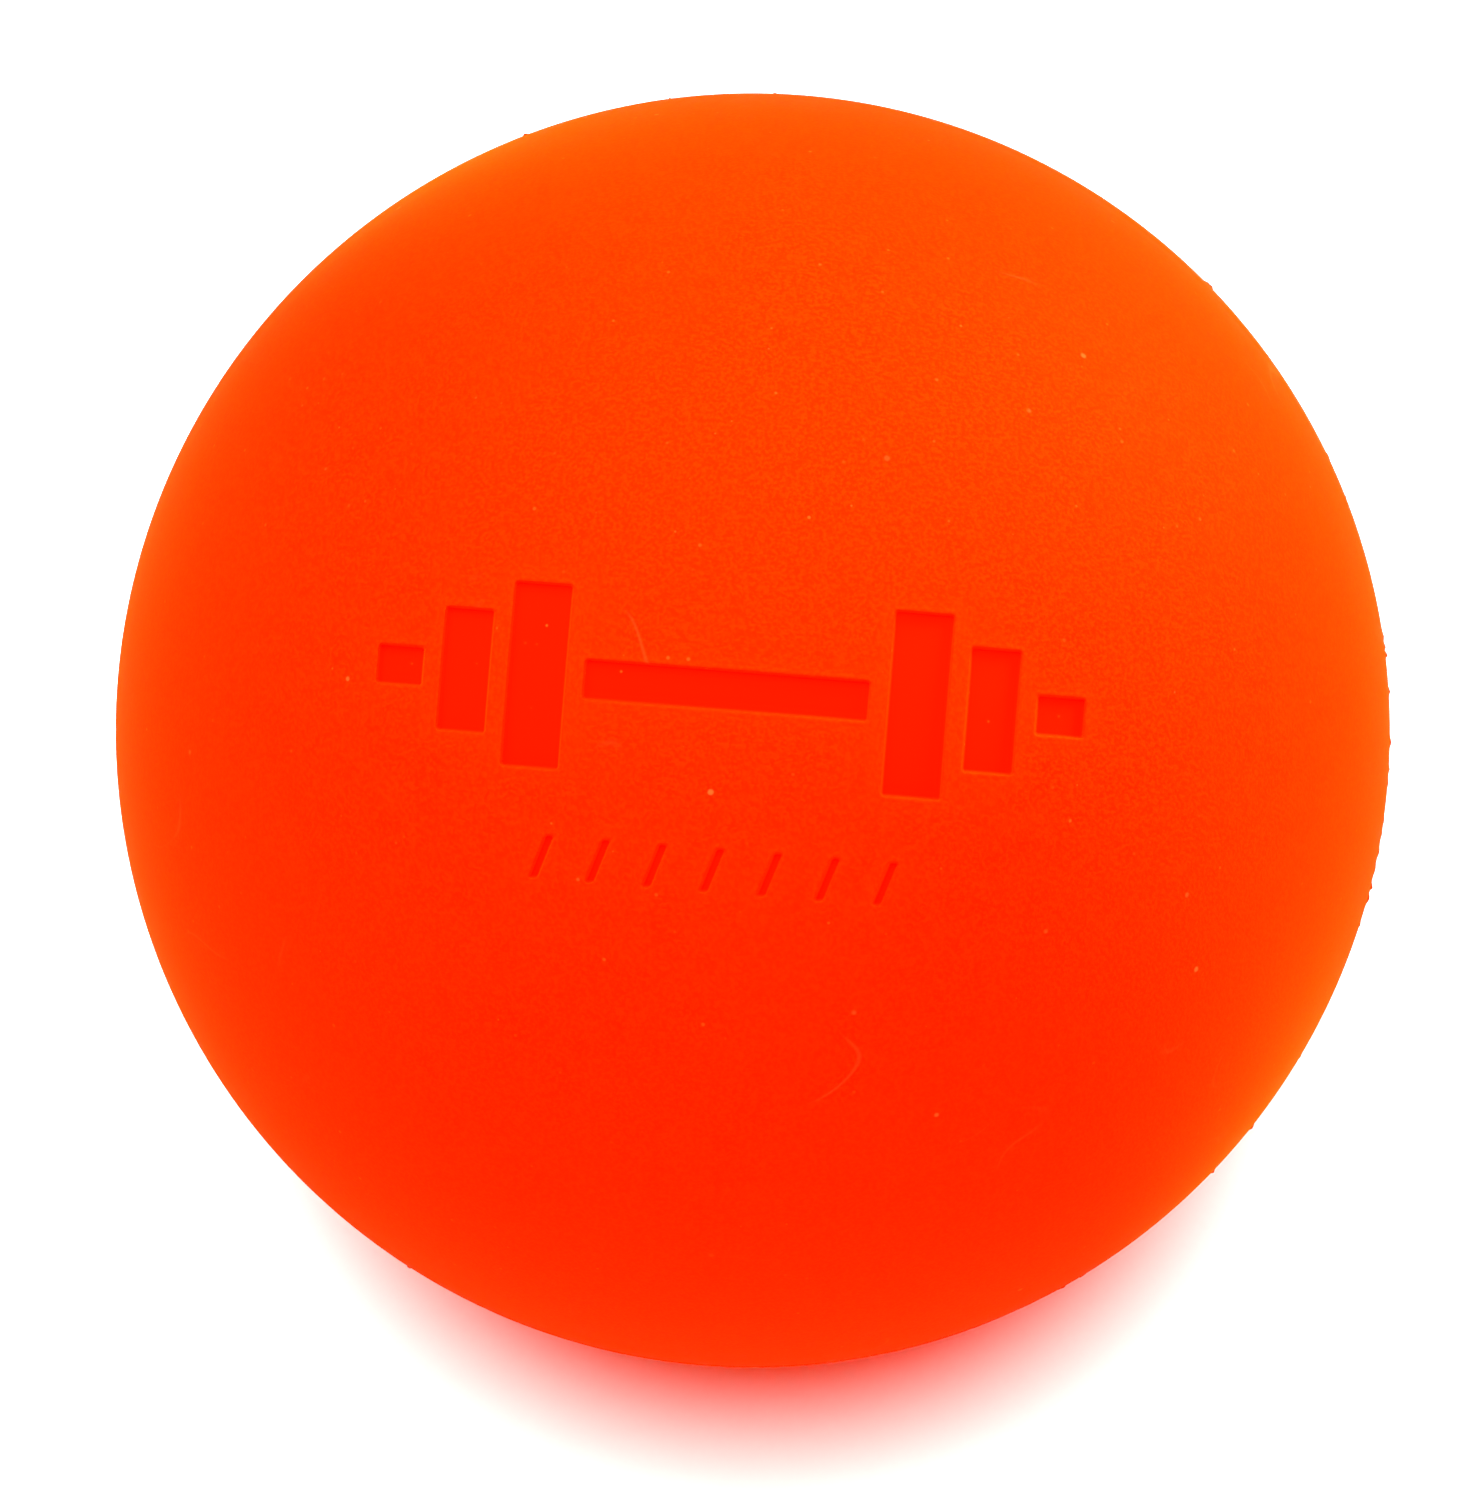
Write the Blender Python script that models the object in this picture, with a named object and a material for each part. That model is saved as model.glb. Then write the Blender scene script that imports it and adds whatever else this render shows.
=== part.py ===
"""Solid rubber massage ball: a dense core, and a cover pressed round it as two half-shells.

The origin is the ball's centre and +Z is up. The mould axis is square to the parting plane between the
two cover halves. It leans from +Z towards the front (-Y), and the half on its upper side carries a
debossed mark: a dumbbell of separate stencil pads, with a row of short slanted dashes under it.
"""

import math

import bmesh
import bpy
from mathutils import Matrix

MM = 0.001

# Driving dimensions
BALL_RADIUS = 31.75 * MM
COVER_THICKNESS = 6.0 * MM
BOND_GAP = 0.3 * MM  # room for the bond film, core to cover and half to half
MOULD_AXIS_LEAN = math.radians(30.0)

# The debossed mark, laid out on a plane square to the mould axis and centred on it
MARK_DEPTH = 0.3 * MM
MARK_STROKE = 1.9 * MM
PAD_SPACING = 0.8 * MM
PAD_CORNER = 0.2 * MM
BAR_LENGTH = 13.2 * MM
INNER_PLATE = (2.8 * MM, 8.6 * MM)
OUTER_PLATE = (2.4 * MM, 5.8 * MM)
KNOB = (2.3 * MM, MARK_STROKE)
DUMBBELL_HEIGHT = 1.8 * MM
DASH = (0.5 * MM, 2.1 * MM)
DASH_COUNT = 7
DASH_PITCH = 2.65 * MM
DASH_SLANT = 0.7 * MM
DASH_ROW_HEIGHT = -6.5 * MM

# How finely the round shapes are divided
SEGMENTS = 64
OUTER_RINGS = 16
INNER_RINGS = 10
CORE_SEGMENTS = 48
CORNER_STEPS = 3

COVER_INNER_RADIUS = BALL_RADIUS - COVER_THICKNESS
CORE_RADIUS = COVER_INNER_RADIUS - BOND_GAP
MERGE_DISTANCE = 0.001 * MM


def clear_scene():
    for item in list(bpy.data.objects):
        bpy.data.objects.remove(item, do_unlink=True)


def rubber(name, colour, roughness):
    material = bpy.data.materials.new(name)
    material.use_nodes = True
    shader = material.node_tree.nodes["Principled BSDF"]
    shader.inputs["Base Color"].default_value = (*colour, 1.0)
    shader.inputs["Roughness"].default_value = roughness
    shader.inputs["Metallic"].default_value = 0.0
    return material


def add_object(name, shape, parent, material=None):
    """Turn a bmesh into a smooth-shaded object that hangs on a parent empty."""
    bmesh.ops.recalc_face_normals(shape, faces=shape.faces)
    mesh = bpy.data.meshes.new(name)
    shape.to_mesh(mesh)
    shape.free()
    mesh.shade_smooth()
    mesh.set_sharp_from_angle(angle=math.radians(30.0))
    if material:
        mesh.materials.append(material)
    item = bpy.data.objects.new(name, mesh)
    item.parent = parent
    bpy.context.scene.collection.objects.link(item)
    return item


def as_cutter(item):
    item.hide_render = True
    item.display_type = "WIRE"


def cut(item, cutter):
    modifier = item.modifiers.new("cut by " + cutter.name, "BOOLEAN")
    modifier.operation = "DIFFERENCE"
    modifier.solver = "EXACT"
    modifier.object = cutter


def ball(radius, segments, rings):
    shape = bmesh.new()
    bmesh.ops.create_uvsphere(shape, u_segments=segments, v_segments=rings, radius=radius)
    return shape


def arc_down(radius, lowest, steps):
    """Points (x, z) on a circle, from the pole at the top down to the height `lowest`."""
    end = math.acos(lowest / radius)
    angles = (end * step / steps for step in range(steps + 1))
    return [(radius * math.sin(angle), radius * math.cos(angle)) for angle in angles]


def half_shell():
    """The half of the hollow cover above the parting plane, turned from its profile."""
    joint_face = BOND_GAP / 2
    outer = arc_down(BALL_RADIUS, joint_face, OUTER_RINGS)
    inner = arc_down(COVER_INNER_RADIUS, joint_face, INNER_RINGS)
    shape = bmesh.new()
    profile = [shape.verts.new((x, 0.0, z)) for x, z in outer + inner[::-1]]
    edges = [shape.edges.new(pair) for pair in zip(profile, profile[1:])]
    bmesh.ops.spin(
        shape,
        geom=profile + edges,
        cent=(0.0, 0.0, 0.0),
        axis=(0.0, 0.0, 1.0),
        angle=math.tau,
        steps=SEGMENTS,
        use_merge=True,
    )
    bmesh.ops.remove_doubles(shape, verts=shape.verts, dist=MERGE_DISTANCE)
    return shape


def rounded_pad(width, height, corner, slant=0.0):
    """Outline of a pad with round corners; `slant` leans its top towards +X."""
    points = []
    for quarter in range(4):
        side_x = 1 if quarter in (0, 3) else -1
        side_y = 1 if quarter in (0, 1) else -1
        centre_x = side_x * (width / 2 - corner)
        centre_y = side_y * (height / 2 - corner)
        for step in range(CORNER_STEPS + 1):
            angle = (quarter + step / CORNER_STEPS) * math.pi / 2
            x = centre_x + corner * math.cos(angle)
            y = centre_y + corner * math.sin(angle)
            points.append((x + slant * y / height, y))
    return points


def dumbbell_pads():
    """Outlines and centres of the dumbbell's pads: a bar, then plates and a knob on each side."""
    pads = [(rounded_pad(BAR_LENGTH, MARK_STROKE, PAD_CORNER), 0.0)]
    edge = BAR_LENGTH / 2
    for width, height in (INNER_PLATE, OUTER_PLATE, KNOB):
        centre = edge + PAD_SPACING + width / 2
        outline = rounded_pad(width, height, PAD_CORNER)
        pads += [(outline, centre), (outline, -centre)]
        edge = centre + width / 2
    return [(outline, centre, DUMBBELL_HEIGHT) for outline, centre in pads]


def dash_pads():
    outline = rounded_pad(*DASH, PAD_CORNER, DASH_SLANT)
    first = -DASH_PITCH * (DASH_COUNT - 1) / 2
    return [(outline, first + DASH_PITCH * number, DASH_ROW_HEIGHT) for number in range(DASH_COUNT)]


def mark_prisms():
    """One upright prism for each pad of the mark, from inside the cover to clear of the ball."""
    bottom = COVER_INNER_RADIUS / 2
    top = BALL_RADIUS * 1.1
    shape = bmesh.new()
    for outline, centre_x, centre_y in dumbbell_pads() + dash_pads():
        corners = [shape.verts.new((x + centre_x, y + centre_y, bottom)) for x, y in outline]
        face = shape.faces.new(corners)
        raised = bmesh.ops.extrude_face_region(shape, geom=[face])["geom"]
        moved = [item for item in raised if isinstance(item, bmesh.types.BMVert)]
        bmesh.ops.translate(shape, verts=moved, vec=(0.0, 0.0, top - bottom))
    return shape


def build():
    clear_scene()
    cover_rubber = rubber("orange_cover_rubber", (0.90, 0.05, 0.004), 0.55)
    core_rubber = rubber("dark_core_rubber", (0.16, 0.03, 0.02), 0.75)

    mould_axis = bpy.data.objects.new("mould_axis", None)
    mould_axis.rotation_euler = (MOULD_AXIS_LEAN, 0.0, 0.0)
    bpy.context.scene.collection.objects.link(mould_axis)

    add_object("core", ball(CORE_RADIUS, CORE_SEGMENTS, CORE_SEGMENTS // 2), mould_axis, core_rubber)

    mark_floor = add_object("mark_floor", ball(BALL_RADIUS - MARK_DEPTH, SEGMENTS, 2 * OUTER_RINGS), mould_axis)
    mark_cutter = add_object("mark_cutter", mark_prisms(), mould_axis)
    cut(mark_cutter, mark_floor)
    as_cutter(mark_floor)
    as_cutter(mark_cutter)

    marked_half = add_object("marked_cover_half", half_shell(), mould_axis, cover_rubber)
    cut(marked_half, mark_cutter)

    other_half = half_shell()
    half_turn = Matrix.Rotation(math.pi, 4, "X")
    bmesh.ops.transform(other_half, matrix=half_turn, verts=other_half.verts)
    add_object("plain_cover_half", other_half, mould_axis, cover_rubber)


build()
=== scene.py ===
"""Looks of the rubber massage ball: fine cover halves, moulded rubber, a plain studio and the camera.

Everything is in metres, in the frame's axes: origin at the ball's centre, +Z up, -Y towards the viewer.
The cover is worked out in the mould's own axes, where +Z is the mould axis through the debossed mark and
the parting plane is z = 0, and is then leaned into place.
"""

import math
import random
from collections import namedtuple

import bmesh
import bpy
from mathutils import Matrix, Vector
from mathutils.geometry import delaunay_2d_cdt


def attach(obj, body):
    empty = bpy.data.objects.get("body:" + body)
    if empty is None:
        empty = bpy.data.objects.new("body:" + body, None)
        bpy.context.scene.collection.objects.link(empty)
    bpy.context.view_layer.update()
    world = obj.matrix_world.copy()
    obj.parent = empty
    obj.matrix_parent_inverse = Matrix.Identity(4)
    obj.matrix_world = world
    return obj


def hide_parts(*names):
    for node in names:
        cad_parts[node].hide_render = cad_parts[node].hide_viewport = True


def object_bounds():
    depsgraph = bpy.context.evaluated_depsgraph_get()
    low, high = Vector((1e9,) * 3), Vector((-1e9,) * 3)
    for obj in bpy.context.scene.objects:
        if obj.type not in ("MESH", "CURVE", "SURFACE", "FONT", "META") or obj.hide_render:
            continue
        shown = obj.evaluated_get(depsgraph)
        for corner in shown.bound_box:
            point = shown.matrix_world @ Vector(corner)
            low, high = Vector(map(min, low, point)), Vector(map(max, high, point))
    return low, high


MM = 0.001

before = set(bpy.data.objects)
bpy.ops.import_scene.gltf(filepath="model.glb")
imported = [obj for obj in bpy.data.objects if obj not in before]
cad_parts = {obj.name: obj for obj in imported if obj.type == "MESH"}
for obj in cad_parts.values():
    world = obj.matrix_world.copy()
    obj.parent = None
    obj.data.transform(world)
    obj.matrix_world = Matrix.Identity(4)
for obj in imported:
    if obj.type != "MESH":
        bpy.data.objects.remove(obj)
cad_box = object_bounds()

# The ball, as the frame gives it
BALL_RADIUS = (cad_box[1].x - cad_box[0].x) / 2
COVER_THICKNESS = 6.0 * MM
COVER_INNER_RADIUS = BALL_RADIUS - COVER_THICKNESS
MOULD_AXIS_LEAN = math.radians(30.0)

# The debossed mark, laid out on a plane square to the mould axis
Pad = namedtuple("Pad", "x y width height slant")
MARK_DEPTH = 0.3 * MM
MARK_STROKE = 1.9 * MM
PAD_SPACING = 0.8 * MM
PAD_CORNER = 0.2 * MM
BAR_LENGTH = 13.2 * MM
INNER_PLATE = (2.8 * MM, 8.6 * MM)
OUTER_PLATE = (2.4 * MM, 5.8 * MM)
KNOB = (2.3 * MM, MARK_STROKE)
DUMBBELL_HEIGHT = 1.8 * MM
DASH = (0.5 * MM, 2.1 * MM)
DASH_COUNT = 7
DASH_PITCH = 2.65 * MM
DASH_SLANT = 0.7 * MM
DASH_ROW_HEIGHT = -6.5 * MM

# Section through a pad's edge, by distance out from its outline: lip, wall, floor
EDGE_REACH = 0.30 * MM
LIP_PLACE = 0.12 * MM
LIP_WIDTH = 0.07 * MM
LIP_HEIGHT = 0.01 * MM
WALL_TOP = 0.03 * MM
WALL_FOOT = -0.13 * MM
FLOOR_EDGE = -0.18 * MM
LIP_ROWS = 6
WALL_ROWS = 8
CORNER_STEPS = 6
# How far the painted glow reaches: a lighter red painted round the mark, standing in for light at its
# edges
PAINTED_GLOW_WIDTH = 0.55 * MM

# The polar cap that holds the mark, the bands round it and the seam
CAP_RADIUS = 19.0 * MM
CAP_SPACING = 0.35 * MM
CAP_MERGE = 1e-9
PLAIN_CAP_SPACING = 0.8 * MM
BAND_SEGMENTS = 360
BAND_ROWS = 36
SEAM_SEGMENTS = 1440
SEAM_ROWS = 14
SEAM_BAND = 1.6 * MM
SEAM_ROW_SHRINK = 0.74
JOINT_HALF_GAP = 0.01 * MM
INNER_SEGMENTS = 180
INNER_ROWS = 24

# The trimmed mould flash along the seam
FLASH_HEIGHT = 0.022 * MM
FLASH_HALF_WIDTH = 0.15 * MM
SEAM_NOTCH = 0.05 * MM
SEAM_NOTCH_WIDTH = 0.03 * MM
BUFFED_WIDTH = 1.1 * MM
NIB_COUNT = 70
NIB_HEIGHT = (0.04 * MM, 0.20 * MM)
NIB_WIDTH = (0.10 * MM, 0.24 * MM)
NIB_CLUSTERS = (-6.0, 3.0, 118.0, 151.0, 244.0, 305.0)
NIB_CLUSTER_SPREAD = 7.0
NIB_REACH = 4  # nib widths, past which a nib adds nothing
RIPPLE_WAVES = 9
RIPPLE_COUNTS = (9, 160)
FLASH_SEED = 11

# The camera, and the point it aims at: a little left of and below the ball's centre
CAMERA_AZIMUTH = math.radians(5.0)
CAMERA_ELEVATION = math.radians(60.0)
CAMERA_DISTANCE = 0.38
CAMERA_LENS_MM = 181.7
AIM_LEFT = 0.73 * MM
AIM_LOW = 1.13 * MM
CLIP_NEAR = 0.01
CLIP_FAR = 100.0


# ---------------------------------------------------------------- the mark

def dumbbell_pads():
    """A bar, then an inner plate, an outer plate and a knob on each side of it."""
    pads = [Pad(0.0, DUMBBELL_HEIGHT, BAR_LENGTH, MARK_STROKE, 0.0)]
    edge = BAR_LENGTH / 2
    for width, height in (INNER_PLATE, OUTER_PLATE, KNOB):
        centre = edge + PAD_SPACING + width / 2
        for x in (centre, -centre):
            pads.append(Pad(x, DUMBBELL_HEIGHT, width, height, 0.0))
        edge = centre + width / 2
    return pads


def dash_pads():
    first = -DASH_PITCH * (DASH_COUNT - 1) / 2
    places = (first + DASH_PITCH * number for number in range(DASH_COUNT))
    return [Pad(x, DASH_ROW_HEIGHT, *DASH, DASH_SLANT) for x in places]


def pad_distance(pad, x, y):
    """How far a point lies outside a pad's outline; negative inside it."""
    up = y - pad.y
    across = x - pad.x - pad.slant * up / pad.height
    past_x = abs(across) - (pad.width / 2 - PAD_CORNER)
    past_y = abs(up) - (pad.height / 2 - PAD_CORNER)
    return math.hypot(max(past_x, 0.0), max(past_y, 0.0)) + min(max(past_x, past_y), 0.0) - PAD_CORNER


def pad_outline(pad, offset):
    """The pad's outline moved out by `offset`. Every offset gives the same number of points."""
    corner = PAD_CORNER + offset
    reach_x = pad.width / 2 - PAD_CORNER
    reach_y = pad.height / 2 - PAD_CORNER
    signs = ((1, 1), (-1, 1), (-1, -1), (1, -1))
    arcs = []
    for quarter, (sign_x, sign_y) in enumerate(signs):
        angles = [(quarter + step / CORNER_STEPS) * math.pi / 2 for step in range(CORNER_STEPS + 1)]
        centre_x, centre_y = sign_x * reach_x, sign_y * reach_y
        arcs.append([(centre_x + corner * math.cos(a), centre_y + corner * math.sin(a)) for a in angles])
    points = []
    for quarter, arc in enumerate(arcs):
        points += arc
        start, end = arc[-1], arcs[(quarter + 1) % 4][0]
        length = 2 * (reach_x if quarter % 2 == 0 else reach_y)
        pieces = max(1, round(length / CAP_SPACING))
        for piece in range(1, pieces):
            share = piece / pieces
            points.append((start[0] + (end[0] - start[0]) * share, start[1] + (end[1] - start[1]) * share))
    return [(pad.x + x + pad.slant * y / pad.height, pad.y + y) for x, y in points]


def wall_share(offset):
    """0 on the ball's surface, 1 on the pad's floor, with a smooth wall between."""
    share = min(max((WALL_TOP - offset) / (WALL_TOP - WALL_FOOT), 0.0), 1.0)
    return share * share * (3.0 - 2.0 * share)


def edge_drop(offset):
    """Depth below the ball's surface at a distance out from a pad's outline."""
    lip = LIP_HEIGHT * math.exp(-(((offset - LIP_PLACE) / LIP_WIDTH) ** 2))
    return MARK_DEPTH * wall_share(offset) - lip * (1.0 - wall_share(offset))


def edge_offsets():
    lip = [EDGE_REACH + (WALL_TOP - EDGE_REACH) * step / LIP_ROWS for step in range(LIP_ROWS)]
    wall = [WALL_TOP + (WALL_FOOT - WALL_TOP) * step / WALL_ROWS for step in range(WALL_ROWS + 1)]
    return lip + wall + [FLOOR_EDGE]


# ---------------------------------------------------------------- the cover halves

class Shell:
    """One cover half in the making. Side is 1 above the parting plane and -1 below it."""

    def __init__(self, side):
        self.side = side
        self.points = []
        self.faces = []
        self.recess = []
        self.halo = []
        self.seam = []

    def point(self, x, y, z, recess=0.0, halo=0.0, seam=0.0):
        self.points.append((x, y, self.side * z))
        self.recess.append(recess)
        self.halo.append(halo)
        self.seam.append(seam)
        return len(self.points) - 1

    def on_ball(self, x, y, drop=0.0, **values):
        """A point over (x, y), `drop` below the ball's surface."""
        radius = BALL_RADIUS - drop
        return self.point(x, y, math.sqrt(radius * radius - x * x - y * y), **values)

    def ring(self, radius, height, segments, **values):
        turns = (math.tau * number / segments for number in range(segments))
        return [self.point(radius * math.cos(t), radius * math.sin(t), height, **values) for t in turns]

    def join(self, first, second):
        """Faces between two closed rings, one of which has a whole multiple of the other's points."""
        if len(first) < len(second):
            first, second = second, first
        share = len(first) // len(second)
        for number, near in enumerate(first):
            after = first[(number + 1) % len(first)]
            low = second[number // share]
            high = second[((number + 1) // share) % len(second)]
            self.faces.append((near, after, low) if low == high else (near, after, high, low))

    def close(self, ring, height):
        pole = self.point(0.0, 0.0, height)
        self.faces += [(ring[number - 1], ring[number], pole) for number in range(len(ring))]

    def to_object(self, name, materials):
        shape = bmesh.new()
        corners = [shape.verts.new(point) for point in self.points]
        for face in self.faces:
            shape.faces.new([corners[index] for index in face]).smooth = True
        bmesh.ops.recalc_face_normals(shape, faces=shape.faces)
        bmesh.ops.rotate(shape, verts=shape.verts, matrix=Matrix.Rotation(MOULD_AXIS_LEAN, 3, "X"))
        mesh = bpy.data.meshes.new(name)
        shape.to_mesh(mesh)
        shape.free()
        for label in ("recess", "halo", "seam"):
            mesh.attributes.new(label, "FLOAT", "POINT").data.foreach_set("value", getattr(self, label))
        for material in materials:
            mesh.materials.append(material)
        item = bpy.data.objects.new(name, mesh)
        bpy.context.scene.collection.objects.link(item)
        return item


def cap_grid(spacing):
    """Points spread evenly over the cap, seen along the mould axis."""
    edge = math.asin(CAP_RADIUS / BALL_RADIUS)
    rows = round(edge * BALL_RADIUS / spacing)
    points = [(0.0, 0.0)]
    for row in range(1, rows):
        radius = BALL_RADIUS * math.sin(edge * row / rows)
        count = round(math.tau * radius / spacing)
        turns = (math.tau * (number + row % 2 / 2) / count for number in range(count))
        points += [(radius * math.cos(t), radius * math.sin(t)) for t in turns]
    return points


# Painted glow: how much lighter red is painted round the mark, standing in for light, fading with distance
# from a pad's edge
def halo_at(distance):
    return math.exp(-((max(distance, 0.0) / PAINTED_GLOW_WIDTH) ** 2))


def add_cap(shell, pads, spacing):
    """The cap over the pole, with the pads sunk into it. Returns its outer ring."""
    rim_height = math.sqrt(BALL_RADIUS**2 - CAP_RADIUS**2)
    rim = shell.ring(CAP_RADIUS, rim_height, BAND_SEGMENTS)
    flat, edges, owner = [], [], []

    def trace(loop):
        first = len(flat)
        for index in loop:
            flat.append(Vector(shell.points[index][:2]))
            owner.append(index)
        edges.extend((first + n, first + (n + 1) % len(loop)) for n in range(len(loop)))

    trace(rim)
    for pad in pads:
        rows = []
        for offset in edge_offsets():
            recess = wall_share(offset)
            # Painted glow: lighter red painted just outside the pad's edge, standing in for light there
            values = {"recess": recess, "halo": (1.0 - recess) * halo_at(offset)}
            drop = edge_drop(offset)
            rows.append([shell.on_ball(x, y, drop, **values) for x, y in pad_outline(pad, offset)])
        for outer, inner in zip(rows, rows[1:]):
            shell.join(outer, inner)
        trace(rows[0])
        trace(rows[-1])

    clear = spacing / 2
    for x, y in cap_grid(spacing):
        near = min(pads, key=lambda pad: pad_distance(pad, x, y), default=None)
        distance = pad_distance(near, x, y) if near else math.inf
        if distance > EDGE_REACH + clear:
            index = shell.on_ball(x, y, halo=halo_at(distance))
        elif distance < FLOOR_EDGE - clear:
            index = shell.on_ball(x, y, MARK_DEPTH, recess=1.0)
        else:
            continue
        flat.append(Vector((x, y)))
        owner.append(index)

    points, _, faces, sources, _, _ = delaunay_2d_cdt(flat, edges, [], 0, CAP_MERGE, True)
    for face in faces:
        x, y = sum((points[corner] for corner in face), Vector((0.0, 0.0))) / len(face)
        distance = min((pad_distance(pad, x, y) for pad in pads), default=math.inf)
        if FLOOR_EDGE < distance < EDGE_REACH:
            continue
        shell.faces.append(tuple(owner[sources[corner][0]] for corner in face))
    return rim


def flash_heights():
    """How far the trimmed flash stands up, at each point round the seam."""
    draw = random.Random(FLASH_SEED)
    waves = [(draw.randint(*RIPPLE_COUNTS), draw.uniform(0.0, math.tau)) for _ in range(RIPPLE_WAVES)]
    nibs = []
    for number in range(NIB_COUNT):
        if number % 2:
            place = draw.gauss(draw.choice(NIB_CLUSTERS), NIB_CLUSTER_SPREAD)
        else:
            place = draw.uniform(0.0, 360.0)
        height = NIB_HEIGHT[0] + (NIB_HEIGHT[1] - NIB_HEIGHT[0]) * draw.random() ** 2
        nibs.append((math.radians(place), height, draw.uniform(*NIB_WIDTH)))
    heights = []
    for number in range(SEAM_SEGMENTS):
        turn = math.tau * number / SEAM_SEGMENTS
        ripple = sum(math.sin(count * turn + phase) for count, phase in waves) / len(waves)
        height = FLASH_HEIGHT * (1.0 + ripple)
        for place, nib, width in nibs:
            away = math.remainder(turn - place, math.tau) * BALL_RADIUS
            if abs(away) < NIB_REACH * width:
                height += nib * math.exp(-((away / width) ** 2))
        heights.append(height)
    return heights


def add_bands(shell, rim):
    """Rings from the cap down to the seam band."""
    top = math.asin(CAP_RADIUS / BALL_RADIUS)
    bottom = math.acos(SEAM_BAND / BALL_RADIUS)
    last = rim
    for row in range(1, BAND_ROWS):
        angle = top + (bottom - top) * row / BAND_ROWS
        height = BALL_RADIUS * math.cos(angle)
        seam = math.exp(-((height / BUFFED_WIDTH) ** 2))
        ring = shell.ring(BALL_RADIUS * math.sin(angle), height, BAND_SEGMENTS, seam=seam)
        shell.join(last, ring)
        last = ring
    return last


def add_seam(shell, last, flash):
    """The band with the trimmed flash, down to the joint face."""
    rows = [SEAM_BAND * SEAM_ROW_SHRINK**row for row in range(SEAM_ROWS)] + [JOINT_HALF_GAP]
    for height in rows:
        raised = math.exp(-((height / FLASH_HALF_WIDTH) ** 2))
        notch = SEAM_NOTCH * math.exp(-((height / SEAM_NOTCH_WIDTH) ** 2))
        seam = math.exp(-((height / BUFFED_WIDTH) ** 2))
        ring = []
        for number, stands in enumerate(flash):
            turn = math.tau * number / len(flash)
            radius = math.sqrt((BALL_RADIUS + stands * raised - notch) ** 2 - height**2)
            ring.append(shell.point(radius * math.cos(turn), radius * math.sin(turn), height, seam=seam))
        shell.join(last, ring)
        last = ring
    return last


def add_inside(shell, last):
    """The flat joint face and the hollow that the core fills."""
    start = math.acos(JOINT_HALF_GAP / COVER_INNER_RADIUS)
    for row in range(INNER_ROWS):
        angle = start * (1.0 - row / INNER_ROWS)
        radius = COVER_INNER_RADIUS * math.sin(angle)
        ring = shell.ring(radius, COVER_INNER_RADIUS * math.cos(angle), INNER_SEGMENTS)
        shell.join(last, ring)
        last = ring
    shell.close(last, COVER_INNER_RADIUS)


def cover_half(name, node, side, pads, spacing, flash, material):
    shell = Shell(side)
    rim = add_cap(shell, pads, spacing)
    last = add_bands(shell, rim)
    last = add_seam(shell, last, flash)
    add_inside(shell, last)
    item = shell.to_object(name, [material])
    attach(item, "root")
    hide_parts(node)
    return item


# ---------------------------------------------------------------- materials

# The cover's colours, linear. They are so red because the boxes that light the cover are strong
BODY = (0.96, 0.0023, 0.0)
CLOUD = (0.96, 0.0028, 0.0)
MOTTLE = (0.97, 0.0038, 0.0)
GRAIN = (0.98, 0.0072, 0.0)
# Painted glow: the lighter red painted round the mark's edge stands in for light there
MARK_RIM_PAINTED_GLOW = (0.98, 0.0075, 0.0)
BUFFED_SEAM = (0.98, 0.0088, 0.0002)
# Painted shade: the deeper red painted on the mark's floor stands in for the shade in the recess
MARK_FLOOR_PAINTED_SHADE = (0.94, 0.0012, 0.0)
DUST = (1.0, 0.024, 0.002)
PALE_SPECK = (1.0, 0.040, 0.006)
DARK_SPECK = (0.55, 0.0015, 0.0)
SCUFF = (1.0, 0.022, 0.003)

# How strongly some of them show, and the cover's grain, relief and roughness
MARK_RIM_GLOW_SHARE = 0.30
BUFFED_SEAM_SHARE = 0.30
DARK_SPECK_SHARE = 0.8
SCUFF_SHARE = 0.4
GRAIN_SIZE = 0.18 * MM
GRAIN_RELIEF = 0.014 * MM
MOTTLE_SIZE = 1.4 * MM
MOTTLE_RELIEF = 0.012 * MM
CLOUD_SIZE = 14.0 * MM
COVER_ROUGHNESS = (0.62, 0.70)
MARK_ROUGHNESS = 0.80
MARK_RELIEF_SHARE = 0.25

# A speck's smallest radius and its fully coloured middle, as shares of its radius, and the patches that
# show a scuff: their size, as a share of the scuff's, and the noise levels between which they fade in
SMALLEST_SPECK = 0.4
SPECK_MIDDLE = 0.4
SCUFF_PATCH_SIZE = 0.8
SCUFF_PATCH_LEVELS = (0.64, 0.72)

# The core's and the floor's colours, and the core's relief
CORE_DARK = (0.13, 0.022, 0.015)
CORE_LIGHT = (0.19, 0.038, 0.026)
CORE_SCRATCH = (0.30, 0.09, 0.07)
CORE_ROUGHNESS = (0.70, 0.85)
CORE_RELIEF = 0.05 * MM
FLOOR_DARK = (0.80, 0.79, 0.77)
FLOOR_LIGHT = (0.82, 0.81, 0.79)

# Sockets of the Mix node for colours, whose names repeat
MIX_FIRST = 6
MIX_SECOND = 7
MIX_RESULT = 2


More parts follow.
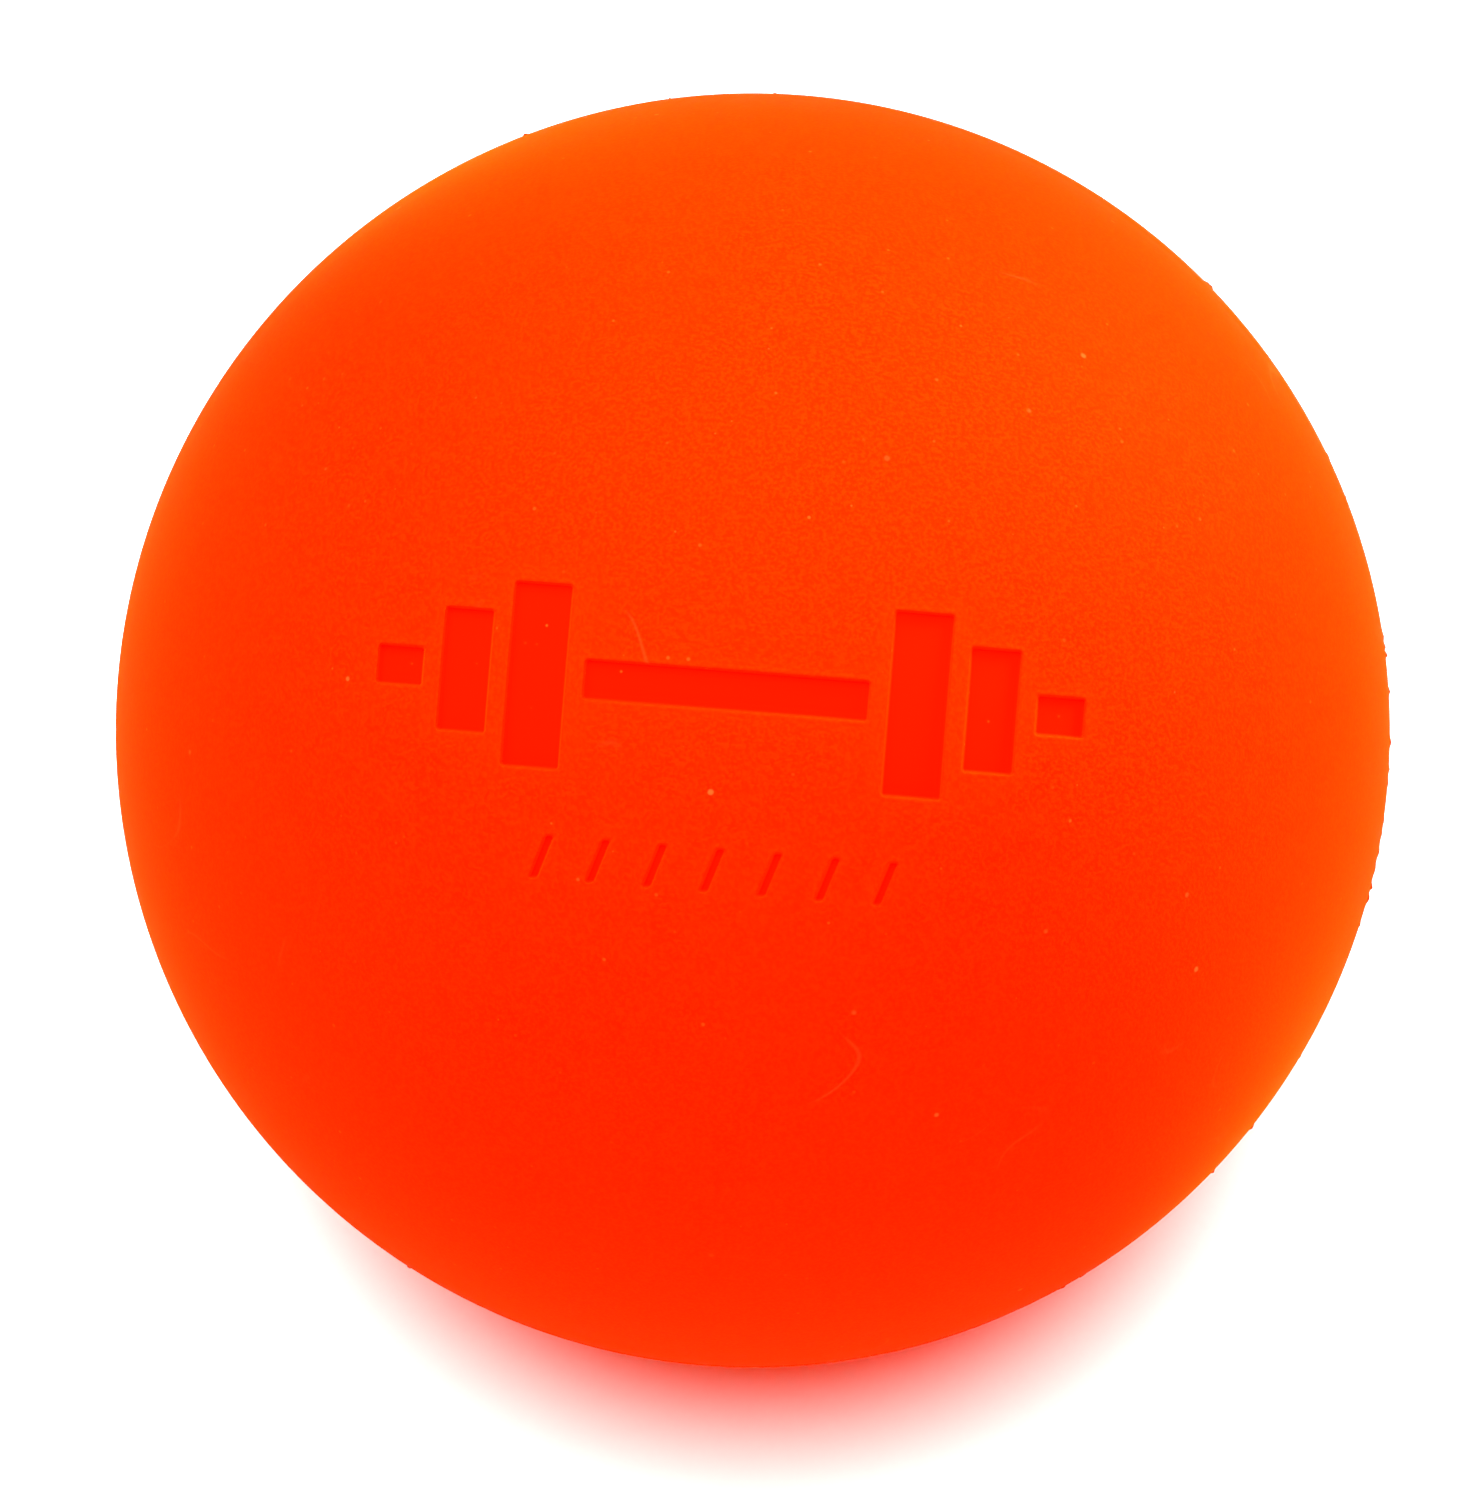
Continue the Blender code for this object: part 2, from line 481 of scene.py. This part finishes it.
class Surface:
    """A Principled material, with short ways to add the nodes that feed it."""

    def __init__(self, name):
        self.material = bpy.data.materials.new(name)
        self.material.use_nodes = True
        self.tree = self.material.node_tree
        self.shader = self.tree.nodes["Principled BSDF"]
        self.place = self.tree.nodes.new("ShaderNodeTexCoord").outputs["Object"]

    def link(self, source, target):
        self.tree.links.new(source, target)

    def feed(self, socket, value):
        if isinstance(value, bpy.types.NodeSocket):
            self.link(value, socket)
        else:
            socket.default_value = value

    def noise(self, size, detail=2.0, roughness=0.5, stretch=None, place=None):
        """Noise with features about `size` metres across."""
        node = self.tree.nodes.new("ShaderNodeTexNoise")
        node.inputs["Scale"].default_value = 1.0 / size
        node.inputs["Detail"].default_value = detail
        node.inputs["Roughness"].default_value = roughness
        source = place or self.place
        if stretch:
            mapping = self.tree.nodes.new("ShaderNodeMapping")
            mapping.inputs["Scale"].default_value = stretch
            self.link(source, mapping.inputs["Vector"])
            source = mapping.outputs["Vector"]
        self.link(source, node.inputs["Vector"])
        return node.outputs["Fac"]

    def attribute(self, name):
        node = self.tree.nodes.new("ShaderNodeAttribute")
        node.attribute_name = name
        return node.outputs["Fac"]

    def remap(self, value, low, high, to_low=0.0, to_high=1.0):
        node = self.tree.nodes.new("ShaderNodeMapRange")
        node.interpolation_type = "SMOOTHSTEP"
        self.feed(node.inputs["Value"], value)
        limits = {"From Min": low, "From Max": high, "To Min": to_low, "To Max": to_high}
        for label, number in limits.items():
            self.feed(node.inputs[label], number)
        return node.outputs["Result"]

    def math(self, operation, first, second):
        node = self.tree.nodes.new("ShaderNodeMath")
        node.operation = operation
        self.feed(node.inputs[0], first)
        self.feed(node.inputs[1], second)
        return node.outputs["Value"]

    def blend(self, share, first, second):
        """`first` where the share is 0 and `second` where it is 1. Each is a colour or a socket."""
        node = self.tree.nodes.new("ShaderNodeMix")
        node.data_type = "RGBA"
        self.feed(node.inputs["Factor"], share)
        self.feed(node.inputs[MIX_FIRST], (*first, 1.0) if isinstance(first, tuple) else first)
        self.feed(node.inputs[MIX_SECOND], (*second, 1.0) if isinstance(second, tuple) else second)
        return node.outputs[MIX_RESULT]

    def shifted(self, seed):
        """The piece's own coordinates, moved along, so that two like patterns fall in different places."""
        mapping = self.tree.nodes.new("ShaderNodeMapping")
        mapping.inputs["Location"].default_value = (seed, seed, seed)
        self.link(self.place, mapping.inputs["Vector"])
        return mapping.outputs["Vector"]

    def specks(self, spacing, radius, share, seed):
        """Soft round specks up to `radius` metres in radius, in a share of the cells of a Voronoi grid."""
        cells = self.tree.nodes.new("ShaderNodeTexVoronoi")
        cells.inputs["Scale"].default_value = 1.0 / spacing
        self.link(self.shifted(seed), cells.inputs["Vector"])
        parts = self.tree.nodes.new("ShaderNodeSeparateColor")
        self.link(cells.outputs["Color"], parts.inputs["Color"])
        chosen = self.math("LESS_THAN", parts.outputs["Red"], share)
        smallest = SMALLEST_SPECK * radius / spacing
        reach = self.remap(parts.outputs["Green"], 0.0, 1.0, smallest, radius / spacing)
        middle = self.math("MULTIPLY", reach, SPECK_MIDDLE)
        near = self.remap(cells.outputs["Distance"], middle, reach, 1.0, 0.0)
        strength = self.math("MULTIPLY", parts.outputs["Blue"], chosen)
        return self.math("MULTIPLY", near, strength)

    def hairlines(self, size, width, seed):
        """Faint curved lines: the contour of a broad noise, shown only in a few small patches."""
        place = self.shifted(seed)
        level = self.noise(size, detail=1.0, place=place)
        away = self.math("ABSOLUTE", self.math("SUBTRACT", level, 0.5), 0.0)
        line = self.remap(away, 0.0, width / size, 1.0, 0.0)
        patch = self.noise(SCUFF_PATCH_SIZE * size, detail=1.0, place=place)
        patch = self.remap(patch, *SCUFF_PATCH_LEVELS)
        return self.math("MULTIPLY", line, patch)

    def bump(self, height, distance, strength=1.0, normal=None):
        node = self.tree.nodes.new("ShaderNodeBump")
        node.inputs["Distance"].default_value = distance
        self.feed(node.inputs["Strength"], strength)
        self.feed(node.inputs["Height"], height)
        if normal:
            self.link(normal, node.inputs["Normal"])
        return node.outputs["Normal"]

    def set(self, label, value):
        self.feed(self.shader.inputs[label], (*value, 1.0) if isinstance(value, tuple) else value)


def cover_rubber():
    """Orange-red moulded rubber: fine matt grain outside, painted shade on the mark's duller floor, a
    painted glow round it.
    """
    skin = Surface("orange_moulded_rubber")
    recess = skin.attribute("recess")
    halo = skin.attribute("halo")
    seam = skin.attribute("seam")

    grain = skin.noise(GRAIN_SIZE, detail=3.0, roughness=0.6)
    mottle = skin.noise(MOTTLE_SIZE, detail=4.0, roughness=0.6)
    cloud = skin.noise(CLOUD_SIZE, detail=2.0)

    colour = skin.blend(skin.remap(cloud, 0.35, 0.65), BODY, CLOUD)
    colour = skin.blend(skin.remap(mottle, 0.3, 0.7, 0.0, 0.7), colour, MOTTLE)
    colour = skin.blend(skin.remap(grain, 0.38, 0.66), colour, GRAIN)
    # Painted glow: lighter red painted round the mark's edge, standing in for light
    colour = skin.blend(skin.math("MULTIPLY", halo, MARK_RIM_GLOW_SHARE), colour, MARK_RIM_PAINTED_GLOW)
    colour = skin.blend(skin.math("MULTIPLY", seam, BUFFED_SEAM_SHARE), colour, BUFFED_SEAM)
    # Painted shade: deeper red painted on the mark's floor, standing in for the shade in the recess
    colour = skin.blend(recess, colour, MARK_FLOOR_PAINTED_SHADE)
    dust = skin.specks(spacing=1.0 * MM, radius=0.13 * MM, share=0.55, seed=0.19)
    colour = skin.blend(dust, colour, DUST)
    pale = skin.specks(spacing=2.2 * MM, radius=0.20 * MM, share=0.60, seed=0.37)
    colour = skin.blend(pale, colour, PALE_SPECK)
    dark = skin.specks(spacing=4.0 * MM, radius=0.15 * MM, share=0.20, seed=0.71)
    colour = skin.blend(skin.math("MULTIPLY", dark, DARK_SPECK_SHARE), colour, DARK_SPECK)
    scuffs = skin.hairlines(size=9.0 * MM, width=0.07 * MM, seed=0.83)
    scuffs = skin.math("MULTIPLY", scuffs, skin.remap(recess, 0.0, 1.0, SCUFF_SHARE, 0.0))
    colour = skin.blend(scuffs, colour, SCUFF)
    skin.set("Base Color", colour)

    rough = skin.remap(mottle, 0.3, 0.7, *COVER_ROUGHNESS)
    skin.set("Roughness", skin.remap(recess, 0.0, 1.0, rough, MARK_ROUGHNESS))
    # A tint above 1 makes up for the very low level, which keeps the rim from going white
    skin.set("Specular IOR Level", 0.0005)
    skin.set("Specular Tint", (160.0, 60.0, 0.0))
    skin.set("Sheen Weight", 0.06)
    skin.set("Sheen Roughness", 0.4)
    skin.set("Sheen Tint", (1.0, 0.5, 0.0))

    keep = skin.remap(recess, 0.0, 1.0, 1.0, MARK_RELIEF_SHARE)
    normal = skin.bump(grain, GRAIN_RELIEF, keep)
    normal = skin.bump(mottle, MOTTLE_RELIEF, keep, normal)
    skin.set("Normal", normal)
    return skin.material


def core_rubber():
    """The dense core: dull dark red rubber, buffed all over so that the cover bonds to it."""
    core = Surface("dark_core_rubber")
    scratches = core.noise(0.5 * MM, detail=4.0, stretch=(1.0, 1.0, 6.0))
    mottle = core.noise(3.0 * MM, detail=3.0)
    colour = core.blend(core.remap(mottle, 0.3, 0.7), CORE_DARK, CORE_LIGHT)
    colour = core.blend(core.remap(scratches, 0.5, 0.75, 0.0, 0.4), colour, CORE_SCRATCH)
    core.set("Base Color", colour)
    core.set("Roughness", core.remap(scratches, 0.3, 0.7, *CORE_ROUGHNESS))
    core.set("Normal", core.bump(scratches, CORE_RELIEF))
    return core.material


def floor_white():
    """A matt white sheet, hardly mottled."""
    sheet = Surface("white_floor")
    fine = sheet.noise(40.0 * MM, detail=2.0)
    sheet.set("Base Color", sheet.blend(fine, FLOOR_DARK, FLOOR_LIGHT))
    sheet.set("Roughness", 0.95)
    sheet.set("Specular IOR Level", 0.0)
    return sheet.material


# ---------------------------------------------------------------- studio

FLOOR_RADIUS = 3.0
FLOOR_SEGMENTS = 128
HORIZON_GLOW = 1.05
SKY_GLOW = 0.0
GLOW_TOP = math.radians(4.0)
SKY_START = math.radians(9.0)
LIGHT_DISTANCE = 4.0
WHITE = (1.0, 1.0, 1.0)
WARM = (1.0, 0.14, 0.0)


def make_floor(height):
    shape = bmesh.new()
    bmesh.ops.create_circle(shape, cap_ends=True, segments=FLOOR_SEGMENTS, radius=FLOOR_RADIUS)
    mesh = bpy.data.meshes.new("floor")
    shape.to_mesh(mesh)
    shape.free()
    mesh.materials.append(floor_white())
    floor = bpy.data.objects.new("floor", mesh)
    floor.location.z = height
    bpy.context.scene.collection.objects.link(floor)
    return floor


def make_world():
    """A white horizon under a black sky, so that the soft boxes give nearly all of the light."""
    world = bpy.data.worlds.new("studio")
    world.use_nodes = True
    tree = world.node_tree
    direction = tree.nodes.new("ShaderNodeTexCoord")
    parts = tree.nodes.new("ShaderNodeSeparateXYZ")
    fade = tree.nodes.new("ShaderNodeMapRange")
    fade.interpolation_type = "SMOOTHSTEP"
    fade.inputs["From Min"].default_value = math.sin(GLOW_TOP)
    fade.inputs["From Max"].default_value = math.sin(SKY_START)
    fade.inputs["To Min"].default_value = HORIZON_GLOW
    fade.inputs["To Max"].default_value = SKY_GLOW
    tree.links.new(direction.outputs["Generated"], parts.inputs["Vector"])
    tree.links.new(parts.outputs["Z"], fade.inputs["Value"])
    background = tree.nodes["Background"]
    background.inputs["Color"].default_value = (*WHITE, 1.0)
    tree.links.new(fade.outputs["Result"], background.inputs["Strength"])
    bpy.context.scene.world = world


def soft_box(name, azimuth, elevation, width, radiance, only=(), colour=WHITE):
    """A round light that faces the ball. Azimuth is in degrees from +Y (behind the ball) towards +X.

    Its power comes from its radiance. With `only`, light linking keeps it to those objects.
    """
    turn, rise = math.radians(azimuth), math.radians(elevation)
    towards = Vector((math.sin(turn) * math.cos(rise), math.cos(turn) * math.cos(rise), math.sin(rise)))
    lamp = bpy.data.lights.new(name, "AREA")
    lamp.shape = "DISK"
    lamp.size = width
    lamp.color = colour
    lamp.energy = radiance * math.pi * math.pi * (width / 2) ** 2
    item = bpy.data.objects.new(name, lamp)
    item.location = LIGHT_DISTANCE * towards
    item.rotation_mode = "QUATERNION"
    item.rotation_quaternion = (-towards).to_track_quat("-Z", "Y")
    item.visible_camera = False
    bpy.context.scene.collection.objects.link(item)
    if only:
        lit = bpy.data.collections.new("lit_by_" + name)
        for piece in only:
            lit.objects.link(piece)
        item.light_linking.receiver_collection = lit


def make_camera():
    camera = bpy.data.cameras.new("camera")
    camera.lens = CAMERA_LENS_MM
    camera.clip_start = CLIP_NEAR
    camera.clip_end = CLIP_FAR
    item = bpy.data.objects.new("camera", camera)
    turn, rise = CAMERA_AZIMUTH, CAMERA_ELEVATION
    back = Vector((math.sin(turn) * math.cos(rise), -math.cos(turn) * math.cos(rise), math.sin(rise)))
    right = Vector((math.cos(turn), math.sin(turn), 0.0))
    up = back.cross(right)
    target = -AIM_LEFT * right - AIM_LOW * up
    item.location = back * CAMERA_DISTANCE
    item.rotation_mode = "QUATERNION"
    item.rotation_quaternion = (target - item.location).to_track_quat("-Z", "Y")
    bpy.context.scene.collection.objects.link(item)
    bpy.context.scene.camera = item


# ---------------------------------------------------------------- the scene

rubber = cover_rubber()
flash = flash_heights()
mark = dumbbell_pads() + dash_pads()
covers = (
    cover_half("marked_cover", "marked_cover_half", 1, mark, CAP_SPACING, flash, rubber),
    cover_half("plain_cover", "plain_cover_half", -1, [], PLAIN_CAP_SPACING, flash, rubber),
)

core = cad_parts["core"]
core.data.materials.clear()
core.data.materials.append(core_rubber())

floor = make_floor(cad_box[0].z)
make_world()
soft_box("overhead_box", azimuth=300.0, elevation=88.0, width=4.2, radiance=19.6)
soft_box("back_box", azimuth=0.0, elevation=40.0, width=2.0, radiance=23.0, only=covers)
soft_box("left_box", azimuth=315.0, elevation=40.0, width=2.0, radiance=27.2, only=covers)
soft_box("right_box", azimuth=45.0, elevation=14.0, width=2.0, radiance=107.0, only=covers)
# The light that the ball throws forward onto the floor
soft_box(
    "warm_floor_fill", azimuth=180.0, elevation=30.0, width=2.0, radiance=7.5, only=(floor,), colour=WARM
)
make_camera()
bpy.context.scene.view_settings.view_transform = "Standard"
